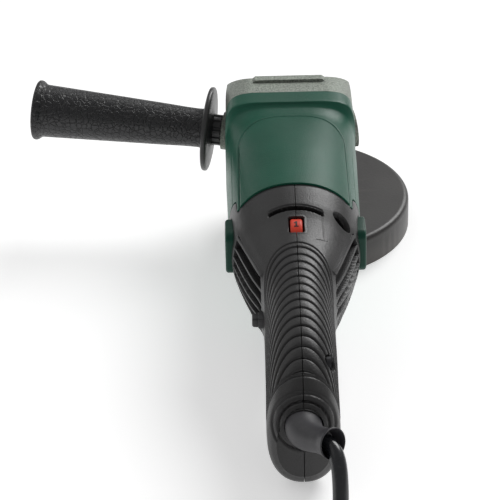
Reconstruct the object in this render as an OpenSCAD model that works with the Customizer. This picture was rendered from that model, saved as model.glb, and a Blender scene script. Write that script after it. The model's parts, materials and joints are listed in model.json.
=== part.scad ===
// Corded 125 mm angle grinder with a long rear handle.
// The origin is the centre of the spindle's free end. +Y points to the gear head, +X to the right.

/* [Gear head] */
// Width of the cast gear housing
head_w = 73; // [70:1:76]
// Height of the motor axis above the spindle's free end
axis_z = 58; // [57:0.5:60]
// Distance from the spindle axis to the front of the gear housing
head_front = 34; // [32:1:36]
// Radius of the neck that carries the guard
neck_r = 21.5; // [21:0.5:22]

/* [Gears] */
// Teeth on the motor pinion
pinion_teeth = 12; // [11:1:13]
// Teeth on the crown wheel
crown_teeth = 37; // [35:1:39]
// Module of both bevel gears at their outer end
gear_module = 1.1; // [1.05:0.05:1.15]

/* [Guard] */
// Outer radius of the wheel guard
guard_r = 70; // [68:1:72]
// Depth of the guard's skirt
guard_depth = 18.4; // [17:0.2:19]
// Thickness of the guard's sheet steel
guard_wall = 1.6; // [1.2:0.2:2]

/* [Motor] */
// Radius of the motor housing at its rear end
body_r = 36.5; // [36:0.5:37]
// Outer radius of the field core
field_r = 33; // [32:0.5:33.5]
// Outer radius of the armature core
armature_r = 18; // [17:0.5:18.2]

/* [Rear handle] */
// Width of the rear handle
handle_w = 36; // [35:1:40]
// Thickness of the handle shells
shell_wall = 2.8; // [2.4:0.2:3.2]

/* [Side handle] */
// Radius of the side handle's flange
flange_r = 24.5; // [23:0.5:26]
// Distance from the flange to the outer end of the side handle
side_handle_l = 105; // [98:1:110]
// Forward sweep of the side handle, in degrees
side_sweep = 9; // [6:1:10]
// Upward tilt of the side handle, in degrees
side_tilt = 4; // [2:1:5]

/* [Cord] */
// Diameter of the mains cord
cord_d = 7.8; // [7.4:0.2:8]

/* [Hidden] */
$fn = 48;

// Heights in the motor frame, whose Z is 0 on the motor axis
rim_z = -axis_z - 0.4;
guard_top = rim_z + guard_depth;
head_top = 36.5;
head_bottom = -27;
plate_bottom = head_bottom - 4;
neck_bottom = -42;
seat_z = -47;
nut_top = seat_z - 2;
nut_bottom = nut_top - 5;
chamber_r = 23.5;
chamber_top = 11;
spindle_r = 6;
thread_r = 7;

// Stations along the motor axis
joint_y = -21;
collar_rear_y = -34;
housing_rear_y = -132;
tongue_y = -118;
front_bearing_y = -31;
fan_y = -54;
core_front_y = -68;
core_rear_y = -116;
brush_y = -134.5;
brush_cover_z = 1.2;
rear_bearing_y = -155.5;

// Bevel gear pair: both pitch cones meet where the two axes cross
crown_pitch_r = gear_module * crown_teeth / 2;
pinion_pitch_r = gear_module * pinion_teeth / 2;
face_ratio = 0.68;
pinion_addendum = 1.2 * gear_module;
crown_addendum = 0.75 * gear_module;

// Sections of the green motor housing: [y, half width, top, bottom, squareness]
housing_sections = [
    [joint_y, head_w / 2, head_top, -36, 5],
    [collar_rear_y, head_w / 2 + 0.5, head_top, -36, 4.6],
    [-60, body_r + 1, 37.2, -37.4, 3.2],
    [-95, body_r + 0.8, 37.4, -37.4, 2.6],
    [housing_rear_y, body_r - 0.1, 37.2, -37.4, 2.3]
];

// Sections of the black rear housing and handle, from the motor to the cord
handle_r = handle_w / 2;
handle_sections = [
    [tongue_y, body_r, 37.2, -37.4, 2.3],
    [housing_rear_y, body_r - 0.1, 37, -37.4, 2.3],
    [-146, 35.2, 34, -37.4, 2.3],
    [-158, 32.2, 29.7, -37.2, 2.3],
    [-170, 29.3, 26.8, -37, 2.3],
    [-183, 25.2, 25, -36, 2.3],
    [-195, 20.8, 23.4, -35, 2.3],
    [-205, 18.8, 22, -34.6, 2.3],
    [-216, handle_r + 0.1, 20.2, -35, 2.3],
    [-232, handle_r, 17, -38, 2.3],
    [-248, handle_r, 12, -44.5, 2.3],
    [-260, handle_r + 0.3, 6, -53, 2.3],
    [-267, handle_r + 0.4, 1.5, rim_z, 2.3],
    [-272, handle_r, -2.5, -57.6, 2.3],
    [-276, handle_r - 1.6, -6.5, -55, 2.3],
    [-279, handle_r - 4.5, -11, -50, 2.3]
];
end_y = -279;
section_points = 32;

// Screws that hold the two handle shells together: [y, z]
handle_screw_places = [[-166, -27], [-190, -26], [-252, 0], [-262, -44]];
trigger_pivot = [-201, -30];
lock_place = [-205, -3];
dial_place = [-161, 21];
dial_r = 8.8;

// Cord: the route's points in the motor frame, from the boot's mouth to the coil
floor_z = rim_z + cord_d / 2;
boot_route = [
    [0, -268, -19], [0, -270, -19], [0, -270.6, -19], [0, -280, -19], [2, -288, -18], [6, -297, -16.5], [13, -307, -17]
];
boot_radii = [10.5, 10.5, 8.7, 8.6, 7.4, 6.4, 6.4];
lead_route = [
    [13, -307, -17], [15, -312, -20], [16, -317, -27], [16, -321, -36], [15.5, -327, -45],
    [15, -335, -51], [15, -346, floor_z], [15, -360, floor_z], [15, -375, floor_z],
    [15, -390, floor_z]
];
coil_mid_r = 47;
coil_rings = 4;
coil_layers = 2;
turn_gap = 8;
coil_reach = (coil_rings - 1) / 2 * turn_gap;
coil_centre = [15 - coil_mid_r - coil_reach, -390];
upper_z = floor_z + cord_d;
plug_x = -34;
plug_y = -475;
plug_z = rim_z + 8.5;
tail_route = [
    [15, -390, upper_z], [15, -402, upper_z], [15.5, -414, upper_z - 1.5], [17, -426, upper_z - 5],
    [16, -440, floor_z], [9, -458, floor_z], [-5, -470, floor_z + 1], [-20, -475, plug_z - 1],
    [plug_x, plug_y, plug_z]
];

// ---------- shared shapes ----------

// Moves children from the motor frame into the part's frame
module on_axis() {
    translate([0, 0, axis_z])
        children();
}

// A cylinder along Y from y0 to y1
module along_y(y0, y1, r, x = 0, z = 0) {
    translate([x, max(y0, y1), z])
        rotate([90, 0, 0])
            cylinder(h = abs(y1 - y0), r = r);
}

// A cylinder along X from x0 to x1
module along_x(x0, x1, r, y = 0, z = 0) {
    translate([min(x0, x1), y, z])
        rotate([0, 90, 0])
            cylinder(h = abs(x1 - x0), r = r);
}

// A cylinder along Z from z0 to z1
module along_z(z0, z1, r, x = 0, y = 0) {
    translate([x, y, min(z0, z1)])
        cylinder(h = abs(z1 - z0), r = r);
}

// A box between two corners
module block(low, high) {
    translate(low)
        cube(high - low);
}

// A flat rectangle with true round corners, centred
module rounded_rect(w, h, r) {
    square([w - 2 * r, h], center = true);
    square([w, h - 2 * r], center = true);
    for (x = [-1, 1], y = [-1, 1])
        translate([x * (w / 2 - r), y * (h / 2 - r)])
            circle(r = r);
}

function signed_power(v, p) = sign(v) * pow(abs(v), p);

// One superellipse section [y, half width, top, bottom, squareness], shrunk by inset
function section_ring(s, inset) = [
    for (i = [0 : section_points - 1])
        let (
            a = 360 * i / section_points,
            w = s[1] - inset,
            h = (s[2] - s[3]) / 2 - inset
        )
        [
            w * signed_power(cos(a), 2 / s[4]),
            s[0],
            (s[2] + s[3]) / 2 + h * signed_power(sin(a), 2 / s[4])
        ]
];

// A solid through equal rings of points, closed by flat ends
module skin(rings) {
    n = len(rings[0]);
    last = len(rings) - 1;
    polyhedron(
        points = [for (r = rings) for (p = r) p],
        faces = concat(
            [[for (i = [0 : n - 1]) i]],
            [[for (i = [n - 1 : -1 : 0]) last * n + i]],
            [for (k = [0 : last - 1], i = [0 : n - 1]) [k * n + i, (k + 1) * n + i, (k + 1) * n + (i + 1) % n]],
            [for (k = [0 : last - 1], i = [0 : n - 1]) [k * n + i, (k + 1) * n + (i + 1) % n, k * n + (i + 1) % n]]
        )
    );
}

// A closed ring of solid: each ring of points runs along one corner of its cross-section
module ring_skin(rings) {
    n = len(rings[0]);
    corners = len(rings);
    polyhedron(
        points = [for (r = rings) for (p = r) p],
        faces = [
            for (k = [0 : corners - 1], i = [0 : n - 1])
                let (
                    a = k * n + i,
                    b = k * n + (i + 1) % n,
                    c = ((k + 1) % corners) * n + (i + 1) % n,
                    d = ((k + 1) % corners) * n + i
                )
                each [[a, d, c], [a, c, b]]
        ]
    );
}

module loft(sections, inset = 0) {
    skin([for (s = sections) section_ring(s, inset)]);
}

// Unit vector from a to b
function toward(a, b) = (b - a) / norm(b - a);
function route_direction(p, i) =
    i == 0 ? toward(p[0], p[1]) :
    i == len(p) - 1 ? toward(p[i - 1], p[i]) :
    toward(p[i - 1], p[i + 1]);

// A round tube that follows a route, with one ring of the given radius at each point
function tube_ring(c, d, r, sides) =
    let (
        u = toward([0, 0, 0], cross(d, abs(d[0]) < 0.9 ? [1, 0, 0] : [0, 0, 1])),
        v = cross(d, u)
    )
    [for (i = [0 : sides - 1]) c + r * cos(360 * i / sides) * u + r * sin(360 * i / sides) * v];

module tube(route, radii, sides = 12) {
    skin([for (i = [0 : len(route) - 1]) tube_ring(route[i], route_direction(route, i), radii[i], sides)]);
}

// A plain screw pointing down from its head, with the head's underside at the origin
module screw(r, length, head_r, head_h) {
    difference() {
        cylinder(h = head_h, r = head_r);
        translate([0, 0, head_h / 2])
            cylinder(h = head_h, r = r * 0.8, $fn = 6);
    }
    translate([0, 0, -length])
        cylinder(h = length, r = r);
}

// Outer ring, balls and shields of a deep groove ball bearing, from z 0 up
module bearing_outer(bore, outer, width, balls) {
    mid = (bore + outer) / 2;
    ball = (outer - bore) * 0.24;
    rotate_extrude()
        difference() {
            translate([mid + ball * 0.75, 0])
                square([outer - mid - ball * 0.75, width]);
            translate([mid, width / 2])
                circle(r = ball + 0.05);
        }
    for (i = [0 : balls - 1])
        rotate([0, 0, 360 * i / balls])
            translate([mid, 0, width / 2])
                sphere(r = ball, $fn = 24);
}

// Inner ring of the same bearing
module bearing_inner(bore, outer, width) {
    mid = (bore + outer) / 2;
    ball = (outer - bore) * 0.24;
    rotate_extrude()
        difference() {
            translate([bore, 0])
                square([mid - ball * 0.75 - bore, width]);
            translate([mid, width / 2])
                circle(r = ball + 0.08);
        }
}

// A helical spring's plain stand-in: separate turns joined by a thin sleeve
module spring(r, wire, length, turns) {
    for (i = [0 : turns - 1])
        translate([0, 0, wire / 2 + i * (length - wire) / (turns - 1)])
            rotate_extrude()
                translate([r, 0])
                    circle(d = wire, $fn = 24);
    difference() {
        cylinder(h = length, r = r + 0.15);
        translate([0, 0, -1])
            cylinder(h = length + 2, r = r - 0.15);
    }
}

// ---------- gear head ----------

// Outline of the gear housing from above: square at the back, round at the front
function head_plan() = concat(
    [[head_w / 2, joint_y]],
    [for (i = [0 : 24])
        let (a = 180 * i / 24)
        [head_w / 2 * signed_power(cos(a), 0.83), head_front * pow(sin(a), 0.83)]],
    [[-head_w / 2, joint_y]]
);

// Outline of the gear housing from the side
head_side = [
    [joint_y, head_bottom], [30, head_bottom], [head_front, -20], [head_front, -6], [31, 6],
    [22, 17], [10, 27.2], [-2, head_top], [joint_y, head_top]
];

// Direction and root of the side handle on the left, and its mirror image on the right
module side_handle_axis(side) {
    translate([side * (head_w / 2 - 0.5), 0, 2])
        rotate([0, 0, side * side_sweep])
            rotate([0, side * (90 - side_tilt), 0])
                children();
}

housing_screw_places = [[-25.5, 25.5], [25.5, 25.5], [-30, -17], [30, -17]];
flange_screw_places = [[-21.2, -17.6], [21.2, -17.6], [-21.2, 17.6], [21.2, 17.6]];
lock_pin_y = 10.5;
lock_pocket_z = 18.3;

module gear_housing() {
    color("silver")
        on_axis()
            difference() {
                union() {
                    intersection() {
                        translate([0, 0, head_bottom])
                            linear_extrude(height = head_top - head_bottom)
                                polygon(head_plan());
                        translate([-head_w / 2, 0, 0])
                            rotate([90, 0, 90])
                                linear_extrude(height = head_w)
                                    polygon(head_side);
                        translate([0, head_front + 1, (head_top - 36) / 2])
                            rotate([90, 0, 0])
                                linear_extrude(height = head_front + 1 - joint_y)
                                    rounded_rect(head_w, head_top + 36, 16);
                    }
                    translate([0, -2.5, head_top])
                        rotate([90, 0, 0])
                            linear_extrude(height = 5.5)
                                polygon([[-20.7, -2], [20.7, -2], [20.7, 0], [19.2, 1.5], [-19.2, 1.5], [-20.7, 0]]);
                    along_y(joint_y, front_bearing_y - 1, 19);
                    for (side = [-1, 1])
                        side_handle_axis(side)
                            translate([0, 0, -6])
                                cylinder(h = 8.5, r = 11);
                }
                along_z(head_bottom - 1, chamber_top, chamber_r);
                along_y(front_bearing_y - 2, front_bearing_y + 8, 14);
                along_y(front_bearing_y, 0, 10.5);
                along_z(chamber_top - 1, 18.2, spindle_r);
                for (side = [-1, 1])
                    side_handle_axis(side)
                        translate([0, 0, -12])
                            cylinder(h = 16, r = 3.4);
                for (p = housing_screw_places) {
                    along_y(-8, joint_y - 1, 2.6, p[0], p[1]);
                    along_y(head_front + 2, -8, 4.4, p[0], p[1]);
                }
                for (p = flange_screw_places)
                    along_z(head_bottom - 1, -14, 2.5, p[0], p[1]);
                along_z(lock_pocket_z, 40, 5, 0, lock_pin_y);
                along_z(chamber_top - 1, 19, 2.06, 0, lock_pin_y);
            }
}

module gear_housing_screws() {
    color("dimgray")
        on_axis()
            for (p = housing_screw_places)
                translate([p[0], -8, p[1]])
                    rotate([-90, 0, 0])
                        screw(2.4, 34, 4, 3);
}

module bearing_flange() {
    color("lightgray")
        on_axis()
            difference() {
                union() {
                    translate([0, 0, plate_bottom])
                        linear_extrude(height = head_bottom - plate_bottom)
                            rounded_rect(53, 53, 6.5);
                    along_z(plate_bottom, neck_bottom, neck_r);
                }
                along_z(head_bottom + 1, neck_bottom + 2.5, 16);
                along_z(neck_bottom + 3, neck_bottom - 1, 9.5);
                for (p = flange_screw_places)
                    translate([p[0], p[1], plate_bottom - 0.01]) {
                        cylinder(h = 2.4, r1 = 4.9, r2 = 2.6);
                        cylinder(h = 6, r = 2.6);
                    }
            }
}

module bearing_flange_screws() {
    color("dimgray")
        on_axis()
            for (p = flange_screw_places)
                translate([p[0], p[1], plate_bottom])
                    difference() {
                        union() {
                            cylinder(h = 2.4, r1 = 4.8, r2 = 2.4);
                            cylinder(h = 15, r = 2.4);
                        }
                        translate([0, 0, -0.5])
                            cylinder(h = 2, r = 1.7, $fn = 6);
                    }
}

module spindle_bearing() {
    color("slategray")
        on_axis()
            translate([0, 0, neck_bottom + 2.5])
                bearing_outer(spindle_r, 16, 10, 8);
}

module spindle_race() {
    color("slategray")
        on_axis()
            translate([0, 0, neck_bottom + 2.5])
                bearing_inner(spindle_r, 16, 10);
}

module spindle_bush() {
    color("darkgoldenrod")
        on_axis()
            difference() {
                along_z(12, 18, spindle_r);
                along_z(11, 19, 4.05);
            }
}

module spindle() {
    color("gainsboro")
        on_axis() {
            along_z(-axis_z, nut_bottom, 5.9);
            along_z(nut_bottom, neck_bottom + 2.5, thread_r);
            along_z(neck_bottom + 2.5, 10, spindle_r);
            along_z(10, 17.8, 4);
        }
}

// Height of the crown wheel's toothed face, as a slope from the point where the axes cross
function crown_slope(depth) = (pinion_pitch_r + depth) / crown_pitch_r;
crown_root = crown_slope(crown_addendum * -1 + 2.3 * gear_module);
crown_tip = crown_slope(-crown_addendum);
tooth_half_base = 180 / crown_teeth * 0.48;
tooth_half_tip = tooth_half_base * 0.34;

// Angles and slopes round the crown wheel: a tooth is [root, tip, tip, root]
crown_profile = [
    for (i = [0 : crown_teeth - 1])
        let (a = 360 * (i + 0.5) / crown_teeth - 90)
        each [
            [a - tooth_half_base, crown_root], [a - tooth_half_tip, crown_tip],
            [a + tooth_half_tip, crown_tip], [a + tooth_half_base, crown_root]
        ]
];

module crown_teeth_ring(base_z) {
    outer = crown_pitch_r + 0.4;
    inner = crown_pitch_r * face_ratio;
    function spot(r, p, slope) = [r * cos(p[0]), r * sin(p[0]), -slope * r];
    function low(r, p) = [r * cos(p[0]), r * sin(p[0]), base_z];
    ring_skin([
        [for (p = crown_profile) low(outer, p)],
        [for (p = crown_profile) spot(outer, p, p[1])],
        [for (p = crown_profile) spot(inner, p, p[1])],
        [for (p = crown_profile) low(inner, p)]
    ]);
}

module crown_wheel() {
    color("darkgray")
        on_axis()
            difference() {
                union() {
                    crown_teeth_ring(-17);
                    along_z(-17, -11, crown_pitch_r * face_ratio + 0.3);
                    along_z(neck_bottom + 12.5, -17, 9);
                }
                along_z(-30, -8, spindle_r);
                for (i = [0 : 5])
                    rotate([0, 0, 90 + 60 * i])
                        along_z(-18, -9, 2.4, lock_pin_y, 0);
            }
}

// Pinion outline at its outer end: straight-flanked teeth rounded to clear the crown wheel
pinion_root_r = pinion_pitch_r - 0.95 * gear_module;
pinion_tip_r = pinion_pitch_r + pinion_addendum;
pinion_outline = [
    for (i = [0 : pinion_teeth - 1])
        let (a = 360 * i / pinion_teeth - 90)
        each [
            for (q = [
                [-9.5, pinion_root_r], [-8.2, pinion_pitch_r - 0.2], [-5.8, pinion_pitch_r + 0.6],
                [-2.8, pinion_tip_r], [2.8, pinion_tip_r], [5.8, pinion_pitch_r + 0.6],
                [8.2, pinion_pitch_r - 0.2], [9.5, pinion_root_r]
            ])
                [q[1] * cos(a + q[0]), q[1] * sin(a + q[0])]
        ]
];

module pinion() {
    outer = crown_pitch_r;
    inner = crown_pitch_r * face_ratio;
    hub_end = -front_bearing_y - 8;
    function teeth(depth) = [for (p = pinion_outline) [p[0] * depth / outer, -depth, p[1] * depth / outer]];
    function round_ring(r, depth) = [for (p = pinion_outline) [r * p[0] / norm(p), -depth, r * p[1] / norm(p)]];
    color("gray")
        on_axis()
            ring_skin([
                teeth(inner), teeth(outer), round_ring(4.9, outer),
                round_ring(4.9, hub_end), round_ring(3.01, hub_end), round_ring(3.01, inner)
            ]);
}

module inner_flange() {
    color("darkgray")
        on_axis()
            difference() {
                union() {
                    along_z(seat_z, seat_z + 3.4, 21);
                    along_z(seat_z, seat_z - 2, 11.1);
                }
                along_z(seat_z + 4, seat_z - 3, thread_r);
            }
}

module flange_nut() {
    color("dimgray")
        on_axis()
            difference() {
                union() {
                    along_z(nut_top, nut_top - 3.4, 21);
                    along_z(nut_top - 3, nut_bottom, 11.5);
                }
                along_z(nut_top + 1, nut_bottom - 1, thread_r);
                for (i = [0 : 3])
                    rotate([0, 0, 45 + 90 * i])
                        along_z(nut_top + 1, nut_bottom - 1, 2.5, 15.5, 0);
            }
}

module spindle_lock_pin() {
    color("silver")
        on_axis()
            along_z(-8.6, 27, 2, 0, lock_pin_y);
}

module spindle_lock_cap() {
    color("black")
        on_axis()
            difference() {
                along_z(lock_pocket_z + 4.6, 28.9, 4.8, 0, lock_pin_y);
                along_z(22, 27, 2, 0, lock_pin_y);
                along_z(22, lock_pocket_z + 6.8, 4.1, 0, lock_pin_y);
            }
}

module spindle_lock_spring() {
    color("lightgray")
        on_axis()
            translate([0, lock_pin_y, lock_pocket_z])
                spring(3.4, 0.7, 6.8, 3);
}

// ---------- guard ----------

guard_from = -100;
guard_sweep = 185;
lug_angle = 150;

module guard() {
    color("#2a2a2a")
        on_axis()
            rotate([0, 0, guard_from])
                rotate_extrude(angle = guard_sweep, $fn = 96)
                    union() {
                        translate([neck_r + 0.3, guard_top - guard_wall])
                            square([guard_r - 3 - neck_r - 0.3, guard_wall]);
                        translate([guard_r - guard_wall, rim_z])
                            square([guard_wall, guard_depth - 3]);
                        intersection() {
                            translate([guard_r - 3, guard_top - 3])
                                difference() {
                                    circle(r = 3);
                                    circle(r = 3 - guard_wall);
                                }
                            translate([guard_r - 3, guard_top - 3])
                                square([3, 3]);
                        }
                    }
}

module guard_collar() {
    color("#303030")
        on_axis()
            rotate([0, 0, lug_angle])
                difference() {
                    union() {
                        along_z(guard_top, plate_bottom - 0.6, neck_r + 2.1);
                        block([neck_r - 1, -4, guard_top + 0.4], [neck_r + 12, 4, plate_bottom - 1]);
                    }
                    along_z(guard_top - 1, plate_bottom, neck_r + 0.25);
                    block([neck_r - 3, -2, guard_top - 1], [neck_r + 13, 2, plate_bottom]);
                    along_y(5, -5, 2.2, neck_r + 7, (guard_top + plate_bottom - 0.6) / 2);
                }
}

module guard_clamp_screw() {
    color("lightgray")
        on_axis()
            rotate([0, 0, lug_angle])
                translate([neck_r + 7, 4, (guard_top + plate_bottom - 0.6) / 2])
                    rotate([-90, 0, 0]) {
                        screw(2, 12, 3.6, 2.6);
                        translate([0, 0, -11])
                            cylinder(h = 3, r = 3.7, $fn = 6);
                    }
}

// ---------- motor ----------

module motor_housing() {
    color("darkgreen")
        on_axis()
            difference() {
                union() {
                    difference() {
                        loft(housing_sections);
                        intersection() {
                            loft(housing_sections, 3);
                            block([-60, housing_rear_y - 2, -60], [60, collar_rear_y + 1, 60]);
                        }
                        along_y(joint_y + 1, collar_rear_y - 2, 20);
                    }
                    for (y = [core_front_y - 4, core_rear_y + 4])
                        intersection() {
                            loft(housing_sections, 1);
                            difference() {
                                along_y(y + 2, y - 2, 45);
                                along_y(y + 3, y - 3, field_r);
                            }
                        }
                }
                for (p = housing_screw_places)
                    along_y(joint_y + 1, -43, 2.4, p[0], p[1]);
                for (side = [-1, 1])
                    block([min(side * 20, side * 45), housing_rear_y - 1, -20],
                        [max(side * 20, side * 45), tongue_y, 20]);
                along_y(joint_y + 1, front_bearing_y - 1, 19);
                block([-50, -27.4, -60], [50, joint_y + 1, head_bottom + 0.1]);
                along_y(housing_rear_y - 1, housing_rear_y + 4, 35.2);
            }
}

module air_baffle() {
    color("black")
        on_axis()
            difference() {
                along_y(fan_y - 2, fan_y - 4, 33.6);
                along_y(fan_y - 1, fan_y - 5, 24);
            }
}

module field_core() {
    color("gray")
        on_axis()
            difference() {
                along_y(core_front_y, core_rear_y, field_r);
                along_y(core_front_y + 1, core_rear_y - 1, armature_r + 0.6);
                for (x = [-1, 1], z = [-1, 1])
                    scale([x, 1, z])
                        block([20.5, core_rear_y - 1, 3], [28, core_front_y + 1, 13]);
            }
}

// Two copper saddles, above and below the armature
module field_windings() {
    color("sienna")
        on_axis()
            for (flip = [0, 180])
                rotate([0, flip, 0]) {
                    for (x = [-1, 1])
                        scale([x, 1, 1])
                            block([20.7, core_rear_y - 7, 3.2], [27.8, core_front_y + 7, 12.8]);
                    for (y = [core_front_y + 0.2, core_rear_y - 7])
                        translate([0, y, 0])
                            intersection() {
                                difference() {
                                    along_y(0, 6.8, 27.8);
                                    along_y(-1, 8, 20.7);
                                }
                                block([-30, 0, 3.2], [30, 6.8, 30]);
                            }
                }
}

module rear_bracket() {
    color("#202020")
        on_axis()
            difference() {
                union() {
                    along_y(-128, -130, 32.6);
                    for (z = [-1, 1])
                        scale([1, 1, z])
                            block([-5, -150, 12.2], [5, -128.5, 24]);
                    along_y(-146.5, -155.6, 13.5);
                    for (side = [-1, 1])
                        scale([side, 1, 1])
                            block([27.4, -143, -7], [31.2, -129, 7]);
                }
                along_y(-127, -131, 20);
                along_y(-146, -157, 7);
                along_y(rear_bearing_y + 7.5, rear_bearing_y - 1, 11);
                for (side = [-1, 1])
                    scale([side, 1, 1])
                        block([17, brush_y - 5.6, -4.6], [31.8, brush_y + 5.6, 4.6]);
            }
}

module front_bearing() {
    color("slategray")
        on_axis()
            translate([0, front_bearing_y, 0])
                rotate([-90, 0, 0])
                    bearing_outer(spindle_r, 14, 8, 8);
}

module front_race() {
    color("slategray")
        on_axis()
            translate([0, front_bearing_y, 0])
                rotate([-90, 0, 0])
                    bearing_inner(spindle_r, 14, 8);
}

module rear_bearing() {
    color("slategray")
        on_axis()
            translate([0, rear_bearing_y, 0])
                rotate([-90, 0, 0])
                    bearing_outer(4, 11, 7, 7);
}

module rear_race() {
    color("slategray")
        on_axis()
            translate([0, rear_bearing_y, 0])
                rotate([-90, 0, 0])
                    bearing_inner(4, 11, 7);
}

module armature_shaft() {
    color("lightgray")
        on_axis() {
            along_y(-14.8, front_bearing_y + 8, 3);
            along_y(front_bearing_y + 8, -147, spindle_r);
            along_y(-147, rear_bearing_y, 4);
        }
}

module armature_core() {
    color("dimgray")
        on_axis()
            difference() {
                along_y(core_front_y, core_rear_y, armature_r);
                along_y(core_front_y + 1, core_rear_y - 1, spindle_r);
                for (i = [0 : 11])
                    rotate([0, 30 * i, 0])
                        block([-1, core_rear_y - 1, armature_r - 5], [1, core_front_y + 1, armature_r + 1]);
            }
}

module armature_windings() {
    color("peru")
        on_axis()
            for (y = [core_front_y, core_rear_y - 6])
                difference() {
                    along_y(y, y + 6, armature_r - 2);
                    along_y(y - 1, y + 7, spindle_r);
                }
}

module commutator() {
    color("peru")
        on_axis()
            difference() {
                along_y(brush_y + 8, brush_y - 8, 11.5);
                along_y(brush_y + 9, brush_y - 9, spindle_r);
                for (i = [0 : 23])
                    rotate([0, 15 * i, 0])
                        block([-0.25, brush_y - 9, 10.3], [0.25, brush_y + 6, 12]);
            }
}

module fan() {
    color("ivory")
        on_axis()
            difference() {
                union() {
                    along_y(fan_y, fan_y + 13, 9);
                    along_y(fan_y + 11, fan_y + 13, 31);
                    for (i = [0 : 10])
                        rotate([0, 360 / 11 * i, 0])
                            translate([0, 0, 8])
                                rotate([0, 22, 0])
                                    block([-0.8, fan_y, 3], [0.8, fan_y + 12, 22]);
                }
                along_y(fan_y - 1, fan_y + 14, spindle_r);
            }
}

module brush_holders() {
    color("goldenrod")
        on_axis()
            for (side = [-1, 1])
                scale([side, 1, 1])
                    difference() {
                        block([14, brush_y - 5.4, -4.4], [31.5, brush_y + 5.4, 4.4]);
                        block([13, brush_y - 4.2, -3.2], [31, brush_y + 4.2, 3.2]);
                    }
}

module carbon_brushes() {
    color("black")
        on_axis()
            for (side = [-1, 1])
                scale([side, 1, 1])
                    difference() {
                        block([10.9, brush_y - 4.1, -3.1], [25, brush_y + 4.1, 3.1]);
                        along_y(brush_y - 5, brush_y + 5, 11.6);
                    }
}

module brush_springs() {
    color("lightgray")
        on_axis()
            for (side = [-1, 1])
                scale([side, 1, 1])
                    translate([25, brush_y, 0])
                        rotate([0, 90, 0])
                            spring(2.3, 0.6, 5.2, 5);
}

module brush_cover(side) {
    color("darkgreen")
        on_axis()
            scale([side, 1, 1])
                translate([33, brush_y - 0.5, brush_cover_z])
                    rotate([90, 0, 90])
                        difference() {
                            union() {
                                linear_extrude(height = 3.4)
                                    rounded_rect(22, 25, 5);
                                linear_extrude(height = 4.7)
                                    rounded_rect(19, 22, 4.5);
                            }
                            translate([0, 0, -1])
                                linear_extrude(height = 2.6)
                                    rounded_rect(17, 20, 3);
                        }
}

module left_brush_cover() {
    brush_cover(-1);
}

module right_brush_cover() {
    brush_cover(1);
}

// ---------- rear handle ----------

// Gills through which the motor draws its air, on one side
module gills() {
    for (i = [0 : 4])
        translate([0, -158 - 8 * i, -1.5 * i])
            rotate([-18, 0, 0])
                block([16 - i * 1.5, -1.5, -13 + i], [45, 1.5, 15 - i * 1.5]);
}

module shell_body() {
    difference() {
        union() {
            difference() {
                loft(handle_sections);
                loft([for (s = handle_sections) if (s[0] > end_y + 3) s], shell_wall);
                block([-50, housing_rear_y - 0.1, -50], [50, tongue_y + 1, 50]);
            }
            intersection() {
                difference() {
                    loft(handle_sections);
                    loft([for (s = handle_sections) if (s[0] > end_y + 3) s], shell_wall);
                }
                for (side = [-1, 1])
                    scale([side, 1, 1])
                        block([20, housing_rear_y - 2, -19.9], [45, tongue_y - 0.1, 19.9]);
            }
            difference() {
                along_y(-130.2, -140, 35.1);
                along_y(-130, -141, 33.4);
                for (side = [-1, 1])
                    scale([side, 1, 1])
                        block([15, -145, -20], [45, -129, 20]);
            }
            for (p = handle_screw_places)
                intersection() {
                    along_x(-30, 30, 4.4, p[0], p[1]);
                    loft(handle_sections, 1);
                }
            intersection() {
                along_x(-14.9, 14.9, 3.6, trigger_pivot[0], trigger_pivot[1]);
                loft(handle_sections, 1);
            }
        }
        for (side = [-1, 1]) {
            scale([side, 1, 1])
                gills();
            scale([side, 1, 1])
                translate([31, brush_y - 0.5, brush_cover_z])
                    rotate([90, 0, 90])
                        linear_extrude(height = 12)
                            rounded_rect(22.4, 25.4, 5.2);
        }
        for (p = handle_screw_places) {
            along_x(-12, 40, 1.7, p[0], p[1]);
            along_x(handle_r - 6, 45, 4, p[0], p[1]);
        }
        along_x(-16, 16, 1.55, trigger_pivot[0], trigger_pivot[1]);
        block([-8.3, -252, -60], [8.3, -194.5, -24.5]);
        along_x(-30, -9, 4.1, lock_place[0], lock_place[1]);
        block([-4.2, dial_place[0] - 8.4, 18], [4.2, dial_place[0] + 6.9, 40]);
        along_y(end_y - 1, -270, 8.9, 0, -19);
        along_y(-271, -266, 10.8, 0, -19);
    }
}

module left_handle_shell() {
    color("#333333")
        on_axis()
            intersection() {
                shell_body();
                block([-60, -300, -70], [0, -100, 60]);
            }
}

module right_handle_shell() {
    color("#333333")
        on_axis()
            intersection() {
                shell_body();
                block([0, -300, -70], [60, -100, 60]);
            }
}

module handle_screws() {
    color("silver")
        on_axis()
            for (p = handle_screw_places)
                translate([handle_r - 6, p[0], p[1]])
                    rotate([0, 90, 0])
                        screw(1.6, 22, 3.4, 2.4);
}

module speed_dial() {
    color("tomato")
        on_axis()
            difference() {
                union() {
                    along_x(-3, 3, dial_r, dial_place[0], dial_place[1]);
                    along_x(-7.4, 7.4, 2, dial_place[0], dial_place[1]);
                }
                for (i = [0 : 17])
                    translate([0, dial_place[0], dial_place[1]])
                        rotate([20 * i + 10, 0, 0])
                            block([2.2, -0.5, dial_r - 0.5], [4, 0.5, dial_r + 1]);
            }
}

module speed_controller() {
    color("darkolivegreen")
        on_axis()
            difference() {
                union() {
                    block([-12, -197, -8], [12, -174, 12]);
                    for (side = [-1, 1])
                        scale([side, 1, 1])
                            block([4.4, -175, 6], [6.8, dial_place[0] + 3.5, 23.5]);
                }
                along_x(-8, 8, 2.05, dial_place[0], dial_place[1]);
            }
}

module switch_body() {
    color("#404040")
        on_axis()
            difference() {
                block([-8.5, -241, -18], [8.5, -212, 2]);
                along_z(-19, -10, 3.06, 0, -226);
            }
}

module switch_plunger() {
    color("white")
        on_axis()
            along_z(-28.2, -14, 3, 0, -226);
}

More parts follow.
